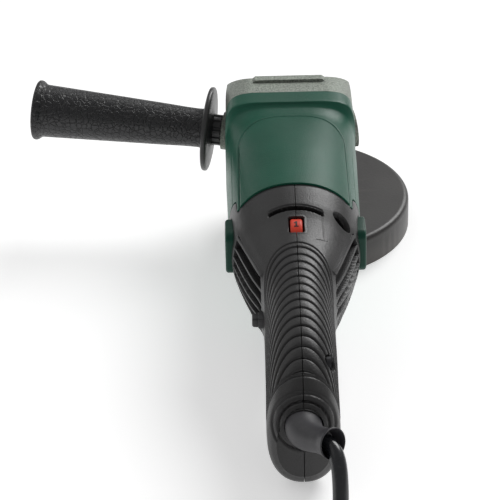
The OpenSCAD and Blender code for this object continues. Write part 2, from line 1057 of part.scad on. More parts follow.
// Outline of the trigger from the side: [y, z]
trigger_outline = [
    [-197, -28], [-197.5, -37], [-205, -42], [-238, -48.5], [-247, -48], [-250, -44], [-249, -35],
    [-243, -31.5], [-215, -27.2], [-203, -26.6]
];

module trigger() {
    color("black")
        on_axis()
            difference() {
                translate([-7.6, 0, 0])
                    rotate([90, 0, 90])
                        linear_extrude(height = 15.2)
                            polygon(trigger_outline);
                along_x(-10, 10, 1.55, trigger_pivot[0], trigger_pivot[1]);
            }
}

module trigger_pin() {
    color("silver")
        on_axis()
            along_x(-14.8, 14.8, 1.5, trigger_pivot[0], trigger_pivot[1]);
}

module lock_button() {
    color("black")
        on_axis() {
            along_x(-24.3, -10, 3.8, lock_place[0], lock_place[1]);
            along_x(-15, -12.6, 4.6, lock_place[0], lock_place[1]);
        }
}

// ---------- cord ----------

module cord_clamp() {
    color("#404040")
        on_axis()
            difference() {
                block([-11, -260, -27], [11, -252, -21]);
                along_y(-251, -261, cord_d / 2, 0, -19.5);
                for (x = [-1, 1])
                    along_z(-28, -20, 1.4, x * 8, -256);
            }
}

module cord_clamp_screws() {
    color("silver")
        on_axis()
            for (x = [-1, 1])
                translate([x * 8, -256, -21])
                    screw(1.4, 7, 2.6, 2);
}

module cord_boot() {
    color("#3a3a3c")
        on_axis() {
            tube(boot_route, boot_radii, 16);
        }
}

module cord_lead() {
    color("#242426")
        on_axis()
            tube(lead_route, [for (p = lead_route) cord_d / 2]);
}

module cord_coil() {
    reach = coil_reach + cord_d / 2;
    color("#242426")
        on_axis()
            translate([coil_centre[0], coil_centre[1], rim_z])
                rotate_extrude($fn = 72)
                    translate([coil_mid_r - reach, 0])
                        square([2 * reach, coil_layers * cord_d]);
}

module cord_tail() {
    color("#242426")
        on_axis()
            tube(tail_route, [for (p = tail_route) cord_d / 2]);
}

// The plug lies flat on the floor, with its pins pointing to -X
module plug_body() {
    color("#242426")
        on_axis()
            translate([plug_x, plug_y, plug_z])
                rotate([0, -90, 0]) {
                    cylinder(h = 22, r1 = 5.5, r2 = 7.5);
                    translate([0, 0, 22])
                        linear_extrude(height = 20)
                            rounded_rect(17, 36, 7);
                }
}

module plug_pins() {
    color("silver")
        on_axis()
            for (side = [-1, 1])
                translate([plug_x - 42, plug_y + side * 9.5, plug_z])
                    rotate([0, -90, 0])
                        cylinder(h = 19, r = 2.4);
}

// ---------- side handle ----------

// Outline of the grip: [radius, distance from the flange's inner face]
grip_outline = [
    [0, 0.5], [9, 0.5], [9, 0], [flange_r - 1.5, 0], [flange_r, 1.5], [flange_r, 3.5],
    [flange_r - 1.5, 5], [11.5, 6], [11.2, 12], [14.8, side_handle_l - 11],
    [17.2, side_handle_l - 5], [17.2, side_handle_l - 2], [15.5, side_handle_l], [0, side_handle_l]
];
neck_l = 6.5;

module side_handle_grip() {
    color("#1e1e20")
        on_axis()
            side_handle_axis(-1)
                translate([0, 0, 2.5])
                    difference() {
                        union() {
                            cylinder(h = neck_l + 1, r = 9);
                            translate([0, 0, neck_l])
                                rotate_extrude()
                                    polygon(grip_outline);
                        }
                        translate([0, 0, -1])
                            cylinder(h = 26, r = 4);
                        translate([0, 0, neck_l + side_handle_l - 14])
                            cylinder(h = 20, r = 8);
                    }
}

module side_handle_stud() {
    color("silver")
        on_axis()
            side_handle_axis(-1)
                translate([0, 0, -9.5])
                    union() {
                        cylinder(h = 13, r = 3.35);
                        translate([0, 0, 12])
                            cylinder(h = 25, r = 3.95);
                    }
}

gear_housing();
gear_housing_screws();
bearing_flange();
bearing_flange_screws();
spindle_bearing();
spindle_bush();
spindle();
spindle_race();
crown_wheel();
inner_flange();
flange_nut();
spindle_lock_pin();
spindle_lock_cap();
spindle_lock_spring();
guard();
guard_collar();
guard_clamp_screw();
motor_housing();
air_baffle();
field_core();
field_windings();
rear_bracket();
front_bearing();
rear_bearing();
armature_shaft();
armature_core();
armature_windings();
commutator();
fan();
pinion();
front_race();
rear_race();
brush_holders();
carbon_brushes();
brush_springs();
left_brush_cover();
right_brush_cover();
left_handle_shell();
right_handle_shell();
handle_screws();
speed_dial();
speed_controller();
switch_body();
switch_plunger();
trigger();
trigger_pin();
lock_button();
cord_clamp();
cord_clamp_screws();
cord_boot();
cord_lead();
cord_coil();
cord_tail();
plug_body();
plug_pins();
side_handle_grip();
side_handle_stud();
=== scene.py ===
import json
import math

import bmesh
import bpy
import numpy as np
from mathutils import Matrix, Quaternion, Vector

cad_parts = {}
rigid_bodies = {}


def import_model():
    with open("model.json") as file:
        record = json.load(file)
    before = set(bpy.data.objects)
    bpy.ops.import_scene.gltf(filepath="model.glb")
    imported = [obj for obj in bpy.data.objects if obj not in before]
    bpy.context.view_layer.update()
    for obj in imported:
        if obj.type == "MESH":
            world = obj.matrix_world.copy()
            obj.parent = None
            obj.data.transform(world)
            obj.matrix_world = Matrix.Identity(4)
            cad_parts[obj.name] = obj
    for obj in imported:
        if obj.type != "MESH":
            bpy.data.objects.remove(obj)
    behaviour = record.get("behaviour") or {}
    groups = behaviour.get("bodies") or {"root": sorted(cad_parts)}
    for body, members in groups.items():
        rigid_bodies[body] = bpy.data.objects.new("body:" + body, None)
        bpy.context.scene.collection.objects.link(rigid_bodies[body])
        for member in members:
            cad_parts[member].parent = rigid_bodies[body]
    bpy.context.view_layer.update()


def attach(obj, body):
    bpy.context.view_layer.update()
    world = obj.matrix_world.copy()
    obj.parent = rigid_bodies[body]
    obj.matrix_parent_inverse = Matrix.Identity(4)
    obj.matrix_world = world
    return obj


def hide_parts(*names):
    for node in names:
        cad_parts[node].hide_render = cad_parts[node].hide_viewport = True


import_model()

# Lengths below are in millimetres in the motor frame, whose Z is 0 on the motor axis.
MM = 0.001
AXIS_Z = 58.0
RIM_Z = -58.4
CORD_D = 7.8
JOINT_Y = -132.5
END_Y = -279
CORD_Z = -19
CORD_HOLE_R = 9.7
BRUSH_Y, BRUSH_Z = -135, 1.2
LOCK_Y, LOCK_Z = -205, -3
DIAL = (0, -161, 21)
SCREW_PLACES = ((-166, -27), (-190, -26), (-252, 0), (-262, -44))
SEAM_OUTSIDE, SEAM_INSIDE = 0.19, 0.01


def metres(p):
    """A point of the motor frame, in metres in the model's frame."""
    return (p[0] * MM, p[1] * MM, (p[2] + AXIS_Z) * MM)


# ---------- camera ----------

cam_data = bpy.data.cameras.new("camera")
cam_data.lens = 172.8
cam_data.sensor_width = 36
cam_data.clip_start = 0.05
cam_data.clip_end = 20
camera = bpy.data.objects.new("camera", cam_data)
bpy.context.collection.objects.link(camera)
camera.location = (-0.0243, -1.2501, 0.6895)
roll = math.radians(-1.3)
tilt = math.radians(90 - 29.58)
camera.rotation_mode = "QUATERNION"
camera.rotation_quaternion = Quaternion((1, 0, 0), tilt) @ Quaternion((0, 0, 1), roll)
bpy.context.scene.camera = camera

# ---------- helpers for meshes ----------


def mesh_object(name, verts, faces, smooth=True, angle=None):
    """verts in millimetres in the motor frame."""
    mesh = bpy.data.meshes.new(name)
    pts = np.asarray(verts, float) * MM
    pts[:, 2] += AXIS_Z * MM
    mesh.from_pydata(pts.tolist(), [], [tuple(int(i) for i in f) for f in faces])
    mesh.validate()
    mesh.polygons.foreach_set("use_smooth", [smooth] * len(mesh.polygons))
    if angle is not None:
        mesh.set_sharp_from_angle(angle=math.radians(angle))
    mesh.update()
    obj = bpy.data.objects.new(name, mesh)
    bpy.context.collection.objects.link(obj)
    return obj


def finish_piece(obj, body, nodes, mat):
    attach(obj, body)
    if nodes:
        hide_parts(*nodes)
    obj.data.materials.clear()
    obj.data.materials.append(mat)
    return obj


def smoothstep(t):
    t = np.clip(t, 0, 1)
    return t * t * (3 - 2 * t)


def pchip(x, y, q):
    """Monotone cubic interpolation; x increasing."""
    x, y, q = np.asarray(x, float), np.asarray(y, float), np.asarray(q, float)
    h = np.diff(x)
    s = np.diff(y) / h
    d = np.zeros_like(y)
    same = s[:-1] * s[1:] > 0
    w1, w2 = 2 * h[1:] + h[:-1], h[1:] + 2 * h[:-1]
    with np.errstate(divide="ignore", invalid="ignore"):
        d[1:-1] = np.where(same, (w1 + w2) / (w1 / s[:-1] + w2 / s[1:]), 0)
    d[0], d[-1] = s[0], s[-1]
    i = np.clip(np.searchsorted(x, q) - 1, 0, len(h) - 1)
    t = (q - x[i]) / h[i]
    a, b, c, e = 2*t**3 - 3*t**2 + 1, t**3 - 2*t**2 + t, -2*t**3 + 3*t**2, t**3 - t**2
    return a * y[i] + b * h[i] * d[i] + c * y[i + 1] + e * h[i] * d[i + 1]


def body_surface(sections, ys, angles):
    """Grid of points on superellipse sections [y, half width, top, bottom, squareness]."""
    s = np.array(sections, float)
    order = np.argsort(s[:, 0])
    s = s[order]
    w, top, bottom, n = (pchip(s[:, 0], s[:, k], ys)[:, None] for k in (1, 2, 3, 4))
    h, mid = (top - bottom) / 2, (top + bottom) / 2
    c, sn = np.cos(angles)[None, :], np.sin(angles)[None, :]
    r = (np.abs(c / w) ** n + np.abs(sn / h) ** n) ** (-1 / n)
    return np.stack([r * c, np.repeat(ys[:, None], len(angles), 1), mid + r * sn], -1)


def grid_normals(p):
    du = np.gradient(p, axis=0)
    dv = np.gradient(p, axis=1)
    n = np.cross(du, dv)
    n /= np.maximum(np.linalg.norm(n, axis=-1, keepdims=True), 1e-9)
    centre = p.mean(axis=1, keepdims=True)
    flip = np.sign(((p - centre) * n).sum(-1).mean())
    return n * flip, flip


def surface_distance(g, p):
    """A field's value divided by its gradient along the surface: a distance in millimetres near g = 0."""
    lu = np.maximum(np.linalg.norm(np.gradient(p, axis=0), axis=-1), 1e-6)
    lv = np.maximum(np.linalg.norm(np.gradient(p, axis=1), axis=-1), 1e-6)
    gu, gv = np.gradient(g, axis=0) / lu, np.gradient(g, axis=1) / lv
    return g / np.maximum(np.sqrt(gu**2 + gv**2), 1e-3)


def groove(dist, width, depth):
    return -depth * np.exp(-((dist / width) ** 2))


def shell_solid(name, outer, inner, keep, closed=False, angle=40):
    """A solid between two grids of points. keep marks the cells that exist, and walls close their edges."""
    nu, nv = outer.shape[:2]
    cv = nv if closed else nv - 1
    idx = np.arange(nu * nv).reshape(nu, nv)
    base = nu * nv
    nxt = (np.arange(nv) + 1) % nv
    faces = []
    k = keep[:, :cv]
    ui, vi = np.nonzero(k)
    a, b = idx[ui, vi], idx[ui + 1, vi]
    c, d = idx[ui + 1, nxt[vi]], idx[ui, nxt[vi]]
    _, flip = grid_normals(outer)
    quads = np.stack([a, b, c, d], 1)
    if flip < 0:
        quads = quads[:, ::-1]
    faces.append(quads)
    faces.append(quads[:, ::-1] + base)
    pad = np.zeros((nu + 1, cv + 2), bool)
    pad[1:nu, 1:cv + 1] = k
    if closed:
        pad[:, 0], pad[:, -1] = pad[:, cv], pad[:, 1]
    walls = []
    for (du, dv) in ((-1, 0), (1, 0), (0, -1), (0, 1)):
        neighbour = pad[ui + 1 + du, vi + 1 + dv]
        sel = ~neighbour
        su, sv = ui[sel], vi[sel]
        if du == -1:
            e0, e1 = idx[su, nxt[sv]], idx[su, sv]
        elif du == 1:
            e0, e1 = idx[su + 1, sv], idx[su + 1, nxt[sv]]
        elif dv == -1:
            e0, e1 = idx[su, sv], idx[su + 1, sv]
        else:
            e0, e1 = idx[su + 1, nxt[sv]], idx[su, nxt[sv]]
        q = np.stack([e1, e0, e0 + base, e1 + base], 1)
        if flip < 0:
            q = q[:, ::-1]
        walls.append(q)
    faces += walls
    faces = np.concatenate(faces)
    verts = np.concatenate([outer.reshape(-1, 3), inner.reshape(-1, 3)])
    used = np.unique(faces)
    remap = np.full(len(verts), -1)
    remap[used] = np.arange(len(used))
    return mesh_object(name, verts[used], remap[faces], angle=angle)


def swept(name, rings, angle=40):
    """A closed skin through rings of points, all of one length."""
    rings = np.asarray(rings, float)
    k, n = rings.shape[:2]
    faces = []
    for i in range(k - 1):
        for j in range(n):
            faces.append((i * n + j, i * n + (j + 1) % n, (i + 1) * n + (j + 1) % n, (i + 1) * n + j))
    faces.append(tuple(range(n))[::-1])
    faces.append(tuple((k - 1) * n + j for j in range(n)))
    return mesh_object(name, rings.reshape(-1, 3), faces, angle=angle)


def recalc(obj):
    bm = bmesh.new()
    bm.from_mesh(obj.data)
    bmesh.ops.recalc_face_normals(bm, faces=bm.faces)
    bm.to_mesh(obj.data)
    bm.free()
    return obj


def frame_rings(path, radii, sides):
    """Round rings along a path, with a frame carried from point to point."""
    path = np.asarray(path, float)
    t = np.gradient(path, axis=0)
    t /= np.linalg.norm(t, axis=1, keepdims=True)
    ref = np.array([0, 0, 1.0]) if abs(t[0, 2]) < 0.9 else np.array([1.0, 0, 0])
    u = np.cross(t[0], ref)
    u /= np.linalg.norm(u)
    rings = []
    for p, d, r in zip(path, t, radii):
        u = u - d * u.dot(d)
        u /= np.linalg.norm(u)
        v = np.cross(d, u)
        a = np.linspace(0, 2 * np.pi, sides, endpoint=False)
        rings.append(p + r * (np.cos(a)[:, None] * u + np.sin(a)[:, None] * v))
    return np.array(rings)


def smooth_path(points, count):
    """A natural cubic spline through points, sampled at count places."""
    p = np.asarray(points, float)
    d = np.concatenate([[0], np.cumsum(np.linalg.norm(np.diff(p, axis=0), axis=1))])
    t = np.linspace(0, d[-1], count)
    n = len(p)
    h = np.diff(d)
    A = np.zeros((n, n))
    B = np.zeros((n, 3))
    A[0, 0] = A[-1, -1] = 1
    for i in range(1, n - 1):
        A[i, i - 1], A[i, i], A[i, i + 1] = h[i - 1], 2 * (h[i - 1] + h[i]), h[i]
        B[i] = 6 * ((p[i + 1] - p[i]) / h[i] - (p[i] - p[i - 1]) / h[i - 1])
    M = np.linalg.solve(A, B)
    i = np.clip(np.searchsorted(d, t) - 1, 0, n - 2)
    a, b = (d[i + 1] - t)[:, None], (t - d[i])[:, None]
    hh = h[i][:, None]
    curved = (M[i] * a**3 + M[i + 1] * b**3) / (6 * hh)
    return curved + (p[i] / hh - M[i] * hh / 6) * a + (p[i + 1] / hh - M[i + 1] * hh / 6) * b


# ---------- materials ----------


def srgb(r, g, b):
    def lin(v):
        v /= 255
        return v / 12.92 if v <= 0.04045 else ((v + 0.055) / 1.055) ** 2.4
    return (lin(r), lin(g), lin(b), 1)


class Nodes:
    def __init__(self, name):
        self.mat = bpy.data.materials.new(name)
        self.mat.use_nodes = True
        self.tree = self.mat.node_tree
        self.tree.nodes.clear()
        self.out = self.new("ShaderNodeOutputMaterial")
        self.bsdf = self.new("ShaderNodeBsdfPrincipled")
        self.link(self.bsdf.outputs[0], self.out.inputs[0])
        self.coord = self.new("ShaderNodeTexCoord").outputs["Object"]

    def new(self, kind):
        return self.tree.nodes.new(kind)

    def link(self, a, b):
        self.tree.links.new(a, b)

    def mapped(self, scale):
        m = self.new("ShaderNodeMapping")
        m.inputs["Scale"].default_value = scale
        self.link(self.coord, m.inputs["Vector"])
        return m.outputs[0]

    def noise(self, scale, detail=2.0, rough=0.5, vector=None, distortion=0.0):
        n = self.new("ShaderNodeTexNoise")
        n.inputs["Scale"].default_value = scale
        n.inputs["Detail"].default_value = detail
        n.inputs["Roughness"].default_value = rough
        n.inputs["Distortion"].default_value = distortion
        self.link(vector or self.coord, n.inputs["Vector"])
        return n.outputs[0]

    def voronoi(self, scale, feature="DISTANCE_TO_EDGE", vector=None, randomness=1.0):
        n = self.new("ShaderNodeTexVoronoi")
        n.feature = feature
        n.inputs["Scale"].default_value = scale
        n.inputs["Randomness"].default_value = randomness
        self.link(vector or self.coord, n.inputs["Vector"])
        return n.outputs["Distance"]

    def ramp(self, fac, stops):
        r = self.new("ShaderNodeValToRGB")
        while len(r.color_ramp.elements) < len(stops):
            r.color_ramp.elements.new(0.5)
        for e, (pos, col) in zip(r.color_ramp.elements, stops):
            e.position = pos
            e.color = col if len(col) == 4 else (*col, 1)
        self.link(fac, r.inputs[0])
        return r.outputs[0]

    def to_range(self, fac, low, high, from_low=0.3, from_high=0.7):
        m = self.new("ShaderNodeMapRange")
        m.inputs["From Min"].default_value = from_low
        m.inputs["From Max"].default_value = from_high
        m.inputs["To Min"].default_value = low
        m.inputs["To Max"].default_value = high
        self.link(fac, m.inputs["Value"])
        return m.outputs[0]

    def mix(self, fac, a, b, mode="MIX"):
        m = self.new("ShaderNodeMix")
        m.data_type = "RGBA"
        m.blend_type = mode
        for value, i in ((fac, 0), (a, 6), (b, 7)):
            if isinstance(value, (int, float)):
                m.inputs[i].default_value = value
            elif isinstance(value, tuple):
                m.inputs[i].default_value = value
            else:
                self.link(value, m.inputs[i])
        return m.outputs[2]

    def bump(self, height, strength, distance, normal=None):
        b = self.new("ShaderNodeBump")
        b.inputs["Strength"].default_value = strength
        b.inputs["Distance"].default_value = distance
        self.link(height, b.inputs["Height"])
        if normal is not None:
            self.link(normal, b.inputs["Normal"])
        return b.outputs[0]

    def edges(self, low=0.51, high=0.56):
        g = self.new("ShaderNodeNewGeometry")
        return self.to_range(g.outputs["Pointiness"], 0.0, 1.0, low, high)

    def done(self, color=None, rough=None, normal=None, metallic=0.0, specular=None):
        b = self.bsdf.inputs
        if color is not None:
            self.link(color, b["Base Color"])
        if rough is not None:
            self.link(rough, b["Roughness"])
        if normal is not None:
            self.link(normal, b["Normal"])
        b["Metallic"].default_value = metallic
        if specular is not None:
            b["Specular IOR Level"].default_value = specular
        return self.mat


def moulded(name, dark, light, rough, grain, grain_strength, specular=0.5, edge=None):
    """Moulded plastic: slow colour drift, spark-eroded grain, faint scuffs, and paler worn edges."""
    n = Nodes(name)
    drift = n.noise(28, 3, 0.55)
    color = n.ramp(drift, [(0.3, dark), (0.7, light)])
    if edge is not None:
        wear = n.mix(n.noise(160, 4, 0.6), (0, 0, 0, 1), (1, 1, 1, 1))
        mask = n.mix(1.0, n.edges(0.52, 0.60), wear, "MULTIPLY")
        color = n.mix(mask, color, edge)
    fine = n.noise(grain, 2, 0.6)
    streak = n.noise(90, 6, 0.7, n.mapped((1, 0.25, 1)))
    rough_value = n.mix(0.35, n.to_range(fine, rough[0], rough[1]), n.to_range(streak, rough[0], rough[1]))
    normal = n.bump(fine, grain_strength, 0.0002)
    slow = n.noise(55, 2, 0.5)
    normal = n.bump(slow, 0.05, 0.002, normal)
    return n.done(color, rough_value, normal, specular=specular)


green_mat = moulded("green_nylon", srgb(8, 78, 59), srgb(14, 88, 68), (0.28, 0.46), 1500, 0.8, specular=0.36)
cover_mat = moulded("green_nylon_cover", srgb(2, 56, 42), srgb(6, 64, 49), (0.34, 0.46), 1500, 0.3,
                    specular=0.25)
black_mat = moulded("black_glass_filled_nylon", srgb(30, 29, 30), srgb(37, 36, 36), (0.30, 0.50), 1300, 0.75,
                    specular=0.55)
trigger_mat = moulded("black_trigger_nylon", srgb(30, 30, 32), srgb(38, 38, 40), (0.30, 0.42), 1400, 0.3,
                      edge=srgb(80, 80, 80))
red_mat = moulded("red_nylon", srgb(214, 56, 32), srgb(224, 64, 38), (0.38, 0.5), 1500, 0.15)
mark_mat = moulded("dark_print", srgb(34, 8, 6), srgb(44, 12, 8), (0.5, 0.6), 2000, 0.1)
switch_mat = moulded("switch_thermoset", srgb(42, 42, 44), srgb(52, 52, 54), (0.4, 0.55), 1200, 0.25)
white_mat = moulded("white_nylon", srgb(205, 203, 196), srgb(220, 218, 211), (0.35, 0.5), 1500, 0.15)
fan_mat = moulded("natural_nylon", srgb(196, 190, 170), srgb(212, 206, 186), (0.4, 0.55), 900, 0.2)
potting_mat = moulded("potting_resin", srgb(58, 62, 50), srgb(74, 78, 64), (0.25, 0.45), 500, 0.3)
carbon_mat = moulded("pressed_carbon", srgb(36, 36, 38), srgb(52, 52, 54), (0.45, 0.65), 2600, 0.5)


def rubber(name, dark, light, rough, specular=0.5):
    """Rubber with fine dust and a soft, slightly uneven skin."""
    n = Nodes(name)
    drift = n.noise(35, 4, 0.6)
    dust = n.noise(420, 5, 0.7)
    color = n.ramp(drift, [(0.3, dark), (0.7, light)])
    color = n.mix(n.to_range(dust, 0.0, 0.25, 0.55, 0.8), color, srgb(96, 94, 90))
    fine = n.noise(1900, 3, 0.6)
    normal = n.bump(fine, 0.18, 0.00012)
    normal = n.bump(n.noise(120, 2, 0.5), 0.12, 0.0006, normal)
    return n.done(color, n.to_range(drift, rough[0], rough[1]), normal, specular=specular)


boot_mat = rubber("boot_rubber", srgb(47, 46, 50), srgb(58, 57, 60), (0.42, 0.55))
cord_mat = rubber("cord_rubber", srgb(22, 24, 28), srgb(28, 30, 34), (0.22, 0.34), specular=0.6)
plug_mat = rubber("plug_rubber", srgb(30, 31, 34), srgb(38, 39, 42), (0.38, 0.5))


def leather(name):
    """Side grip: moulded leather grain with cracks between its cells, and painted shade that colours the cracks
    near-black.
    """
    n = Nodes(name)
    warp = n.noise(260, 3, 0.6)
    add = n.new("ShaderNodeVectorMath")
    add.operation = "MULTIPLY_ADD"
    add.inputs[1].default_value = (0.004, 0.004, 0.004)
    n.link(warp, add.inputs[0])
    n.link(n.coord, add.inputs[2])
    cells = n.voronoi(330, vector=add.outputs[0])
    cracks = n.to_range(cells, 0.0, 1.0, 0.0, 0.12)
    big = n.noise(45, 3, 0.6)
    # painted shade: dark is the near-black colour put in the cracks between the cells, standing for shade in
    # their hollows
    dark, light = srgb(12, 12, 14), srgb(32, 32, 34)
    color = n.mix(cracks, dark, n.ramp(big, [(0.3, srgb(24, 24, 26)), (0.7, light)]))
    fine = n.noise(1500, 3, 0.6)
    normal = n.bump(cracks, 0.75, 0.00045)
    normal = n.bump(fine, 0.2, 0.00015, normal)
    rough = n.mix(cracks, (0.55, 0.55, 0.55, 1), n.to_range(fine, 0.30, 0.42))
    return n.done(color, rough, normal, specular=0.55)


grip_mat = leather("leather_grain_nylon")
flange_mat = moulded("grip_flange_nylon", srgb(44, 44, 46), srgb(54, 54, 55), (0.28, 0.4), 1300, 0.3,
                     edge=srgb(96, 94, 90))


def cast_metal(name, dark, light, rough, coarse=520, strength=0.9):
    """Sand-cast aluminium: coarse grains that catch the light, and painted shade in small pit hollows."""
    n = Nodes(name)
    grain = n.noise(coarse, 4, 0.75)
    fine = n.noise(coarse * 3.2, 3, 0.7)
    pit_shade = n.voronoi(coarse * 1.3, "F1")
    color = n.ramp(grain, [(0.34, dark), (0.66, light)])
    # painted shade: spots of the dark colour stand for shade in small pit hollows, which the surface's relief
    # does not have
    color = n.mix(n.to_range(pit_shade, 0.35, 0.0, 0.0, 0.45), color, dark)
    rough_value = n.to_range(fine, rough[0], rough[1])
    normal = n.bump(grain, strength, 0.0006)
    normal = n.bump(fine, strength * 0.6, 0.0002, normal)
    return n.done(color, rough_value, normal, metallic=0.75)


cast_mat = cast_metal("sand_cast_aluminium", srgb(104, 110, 104), srgb(176, 182, 172), (0.30, 0.62),
                      coarse=1050, strength=1.0)


def metal(name, dark, light, rough, brush=(1, 1, 1), scale=300, metallic=1.0, strength=0.12):
    """Machined or plated metal with turning marks, and a slow stain."""
    n = Nodes(name)
    marks = n.noise(scale, 5, 0.7, n.mapped(brush))
    stain = n.noise(60, 3, 0.6)
    color = n.mix(n.to_range(stain, 0, 1), dark, light)
    color = n.mix(n.to_range(marks, 0.0, 0.35), color, dark)
    normal = n.bump(marks, strength, 0.0002)
    return n.done(color, n.to_range(marks, rough[0], rough[1]), normal, metallic=metallic)


bright_mat = metal("ground_steel", srgb(150, 150, 152), srgb(200, 200, 202), (0.16, 0.32), (0.2, 0.2, 6))
zinc_mat = metal("zinc_plated_steel", srgb(150, 152, 150), srgb(206, 206, 198), (0.25, 0.45), scale=420)
dark_steel_mat = metal("blackened_steel", srgb(52, 52, 54), srgb(78, 78, 80), (0.32, 0.5), scale=500,
                       metallic=0.85)
lamination_mat = metal("stacked_laminations", srgb(80, 80, 84), srgb(150, 150, 152), (0.35, 0.6),
                       (0.1, 14, 0.1),
                       scale=160, strength=0.5)
winding_mat = metal("enamelled_copper", srgb(120, 58, 24), srgb(178, 92, 44), (0.2, 0.4), (0.2, 0.2, 9),
                    scale=260,
                    metallic=0.8, strength=0.6)
copper_mat = metal("turned_copper", srgb(160, 92, 58), srgb(206, 128, 88), (0.2, 0.4), (0.3, 8, 0.3),
                   scale=300)
brass_mat = metal("stamped_brass", srgb(170, 130, 60), srgb(210, 172, 92), (0.22, 0.4))
bronze_mat = metal("sintered_bronze", srgb(120, 88, 44), srgb(166, 124, 66), (0.4, 0.6), scale=900,
                   strength=0.4)
nickel_mat = metal("nickel_plating", srgb(190, 186, 176), srgb(222, 218, 208), (0.12, 0.24))


def powder_coat(name):
    """Black powder coat: orange peel, a few scratches and paler edges."""
    n = Nodes(name)
    orange = n.noise(620, 3, 0.6)
    slow = n.noise(30, 3, 0.6)
    color = n.ramp(slow, [(0.3, srgb(33, 30, 29)), (0.7, srgb(41, 38, 36))])
    scratch = n.noise(60, 8, 0.75, n.mapped((0.3, 6, 1)))
    color = n.mix(n.to_range(scratch, 0, 0.35, 0.66, 0.74), color, srgb(108, 102, 98))
    color = n.mix(n.edges(0.55, 0.66), color, srgb(110, 106, 102))
    normal = n.bump(orange, 0.22, 0.0003)
    return n.done(color, n.to_range(slow, 0.36, 0.46), normal, specular=0.6)


guard_mat = powder_coat("black_powder_coat")

NODE_MATERIALS = {
    "gear_housing": cast_mat, "bearing_flange": cast_mat, "gear_housing_screws": dark_steel_mat,
    "bearing_flange_screws": dark_steel_mat, "spindle_bearing": bright_mat, "spindle_race": bright_mat,
    "spindle_bush": bronze_mat, "spindle": bright_mat, "crown_wheel": dark_steel_mat,
    "pinion": dark_steel_mat,
    "inner_flange": zinc_mat, "flange_nut": dark_steel_mat, "spindle_lock_pin": bright_mat,
    "spindle_lock_cap": trigger_mat, "spindle_lock_spring": bright_mat, "guard": guard_mat,
    "guard_collar": guard_mat, "guard_clamp_screw": zinc_mat, "motor_housing": green_mat,
    "air_baffle": switch_mat, "field_core": lamination_mat, "field_windings": winding_mat,
    "rear_bracket": switch_mat, "front_bearing": bright_mat, "front_race": bright_mat,
    "rear_bearing": bright_mat, "rear_race": bright_mat, "armature_shaft": bright_mat,
    "armature_core": lamination_mat, "armature_windings": winding_mat, "commutator": copper_mat,
    "fan": fan_mat, "brush_holders": brass_mat, "carbon_brushes": carbon_mat, "brush_springs": bright_mat,
    "left_brush_cover": cover_mat, "right_brush_cover": cover_mat, "left_handle_shell": black_mat,
    "right_handle_shell": black_mat, "handle_screws": dark_steel_mat, "speed_dial": red_mat,
    "speed_controller": potting_mat, "switch_body": switch_mat, "switch_plunger": white_mat,
    "trigger": trigger_mat, "trigger_pin": bright_mat, "lock_button": trigger_mat,
    "cord_clamp": switch_mat, "cord_clamp_screws": zinc_mat, "cord_boot": boot_mat, "cord_lead": cord_mat,
    "cord_coil": cord_mat, "cord_tail": cord_mat, "plug_body": plug_mat, "plug_pins": nickel_mat,
    "side_handle_grip": grip_mat, "side_handle_stud": zinc_mat,
}


def node_object(name):
    return next(o for o in bpy.data.objects if o.name == name or o.get("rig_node") == name)


for node_name, mat in NODE_MATERIALS.items():
    cad = node_object(node_name)
    if not cad.material_slots:
        cad.data.materials.append(mat)
    for s in cad.material_slots:
        s.material = mat

# ---------- cord ----------

FLOOR_Z = RIM_Z + CORD_D / 2
UPPER_Z = FLOOR_Z + CORD_D
LEAD = [
    (9.4, -299.6, -13.6), (13.6, -305.2, -15.7), (15.4, -310.8, -19.4), (16, -316.2, -26.2),
    (16, -320.8, -35), (15.5, -326.6, -44.2),
    (15, -334.6, -51), (15, -346, FLOOR_Z), (15, -360, FLOOR_Z), (15, -375, FLOOR_Z),
]
PLUG = (-34, -475, RIM_Z + 8.5)
TAIL = [
    (15, -402, UPPER_Z), (15.5, -414, UPPER_Z - 1.5), (17, -426, UPPER_Z - 5),
    (16, -440, FLOOR_Z), (9, -458, FLOOR_Z), (-5, -470, FLOOR_Z + 1), (-20, -475, PLUG[2] - 1), PLUG,
]
COIL_Y = -390
MID_R = 47
GAP = 8
RINGS = 4
COIL_X = 15 - MID_R - (RINGS - 1) / 2 * GAP
RADII = [MID_R + GAP * (RINGS - 1) / 2 - GAP * i for i in range(RINGS)]
LEVELS = [(r, 0) for r in RADII] + [(r, 1) for r in reversed(RADII)]


def coil_points(steps=32):
    pts = []
    for turn in range(len(LEVELS) - 1):
        (r0, l0), (r1, l1) = LEVELS[turn], LEVELS[turn + 1]
        for i in range(steps):
            t = i / steps
            s = float(smoothstep((t - 0.7) / 0.3))
            r = r0 + (r1 - r0) * s
            if l0 != l1:
                r -= 4.8 * math.sin(math.pi * s)
            z = FLOOR_Z + CORD_D * (l0 + (l1 - l0) * s)
            a = -2 * math.pi * t
            pts.append((COIL_X + r * math.cos(a), COIL_Y + r * math.sin(a), z))
    pts.append((COIL_X + RADII[0], COIL_Y, UPPER_Z))
    return pts


cord_points = LEAD + coil_points() + TAIL
cord_line = smooth_path(cord_points, 900)
cord_line[:, 2] = np.maximum(cord_line[:, 2], FLOOR_Z)
cord_rings = frame_rings(cord_line, [CORD_D / 2] * len(cord_line), 20)
cord = recalc(swept("mains_cord", cord_rings, angle=60))
finish_piece(cord, "housing", ["cord_lead", "cord_coil", "cord_tail"], cord_mat)


def rounded_outline(w, h, r, steps=8):
    pts = []
    for cx, cy, a0 in ((w/2 - r, h/2 - r, 0), (-w/2 + r, h/2 - r, 90), (-w/2 + r, -h/2 + r, 180),
                       (w/2 - r, -h/2 + r, 270)):
        for i in range(steps + 1):
            a = math.radians(a0 + 90 * i / steps)
            pts.append((cx + r * math.cos(a), cy + r * math.sin(a)))
    return np.array(pts)


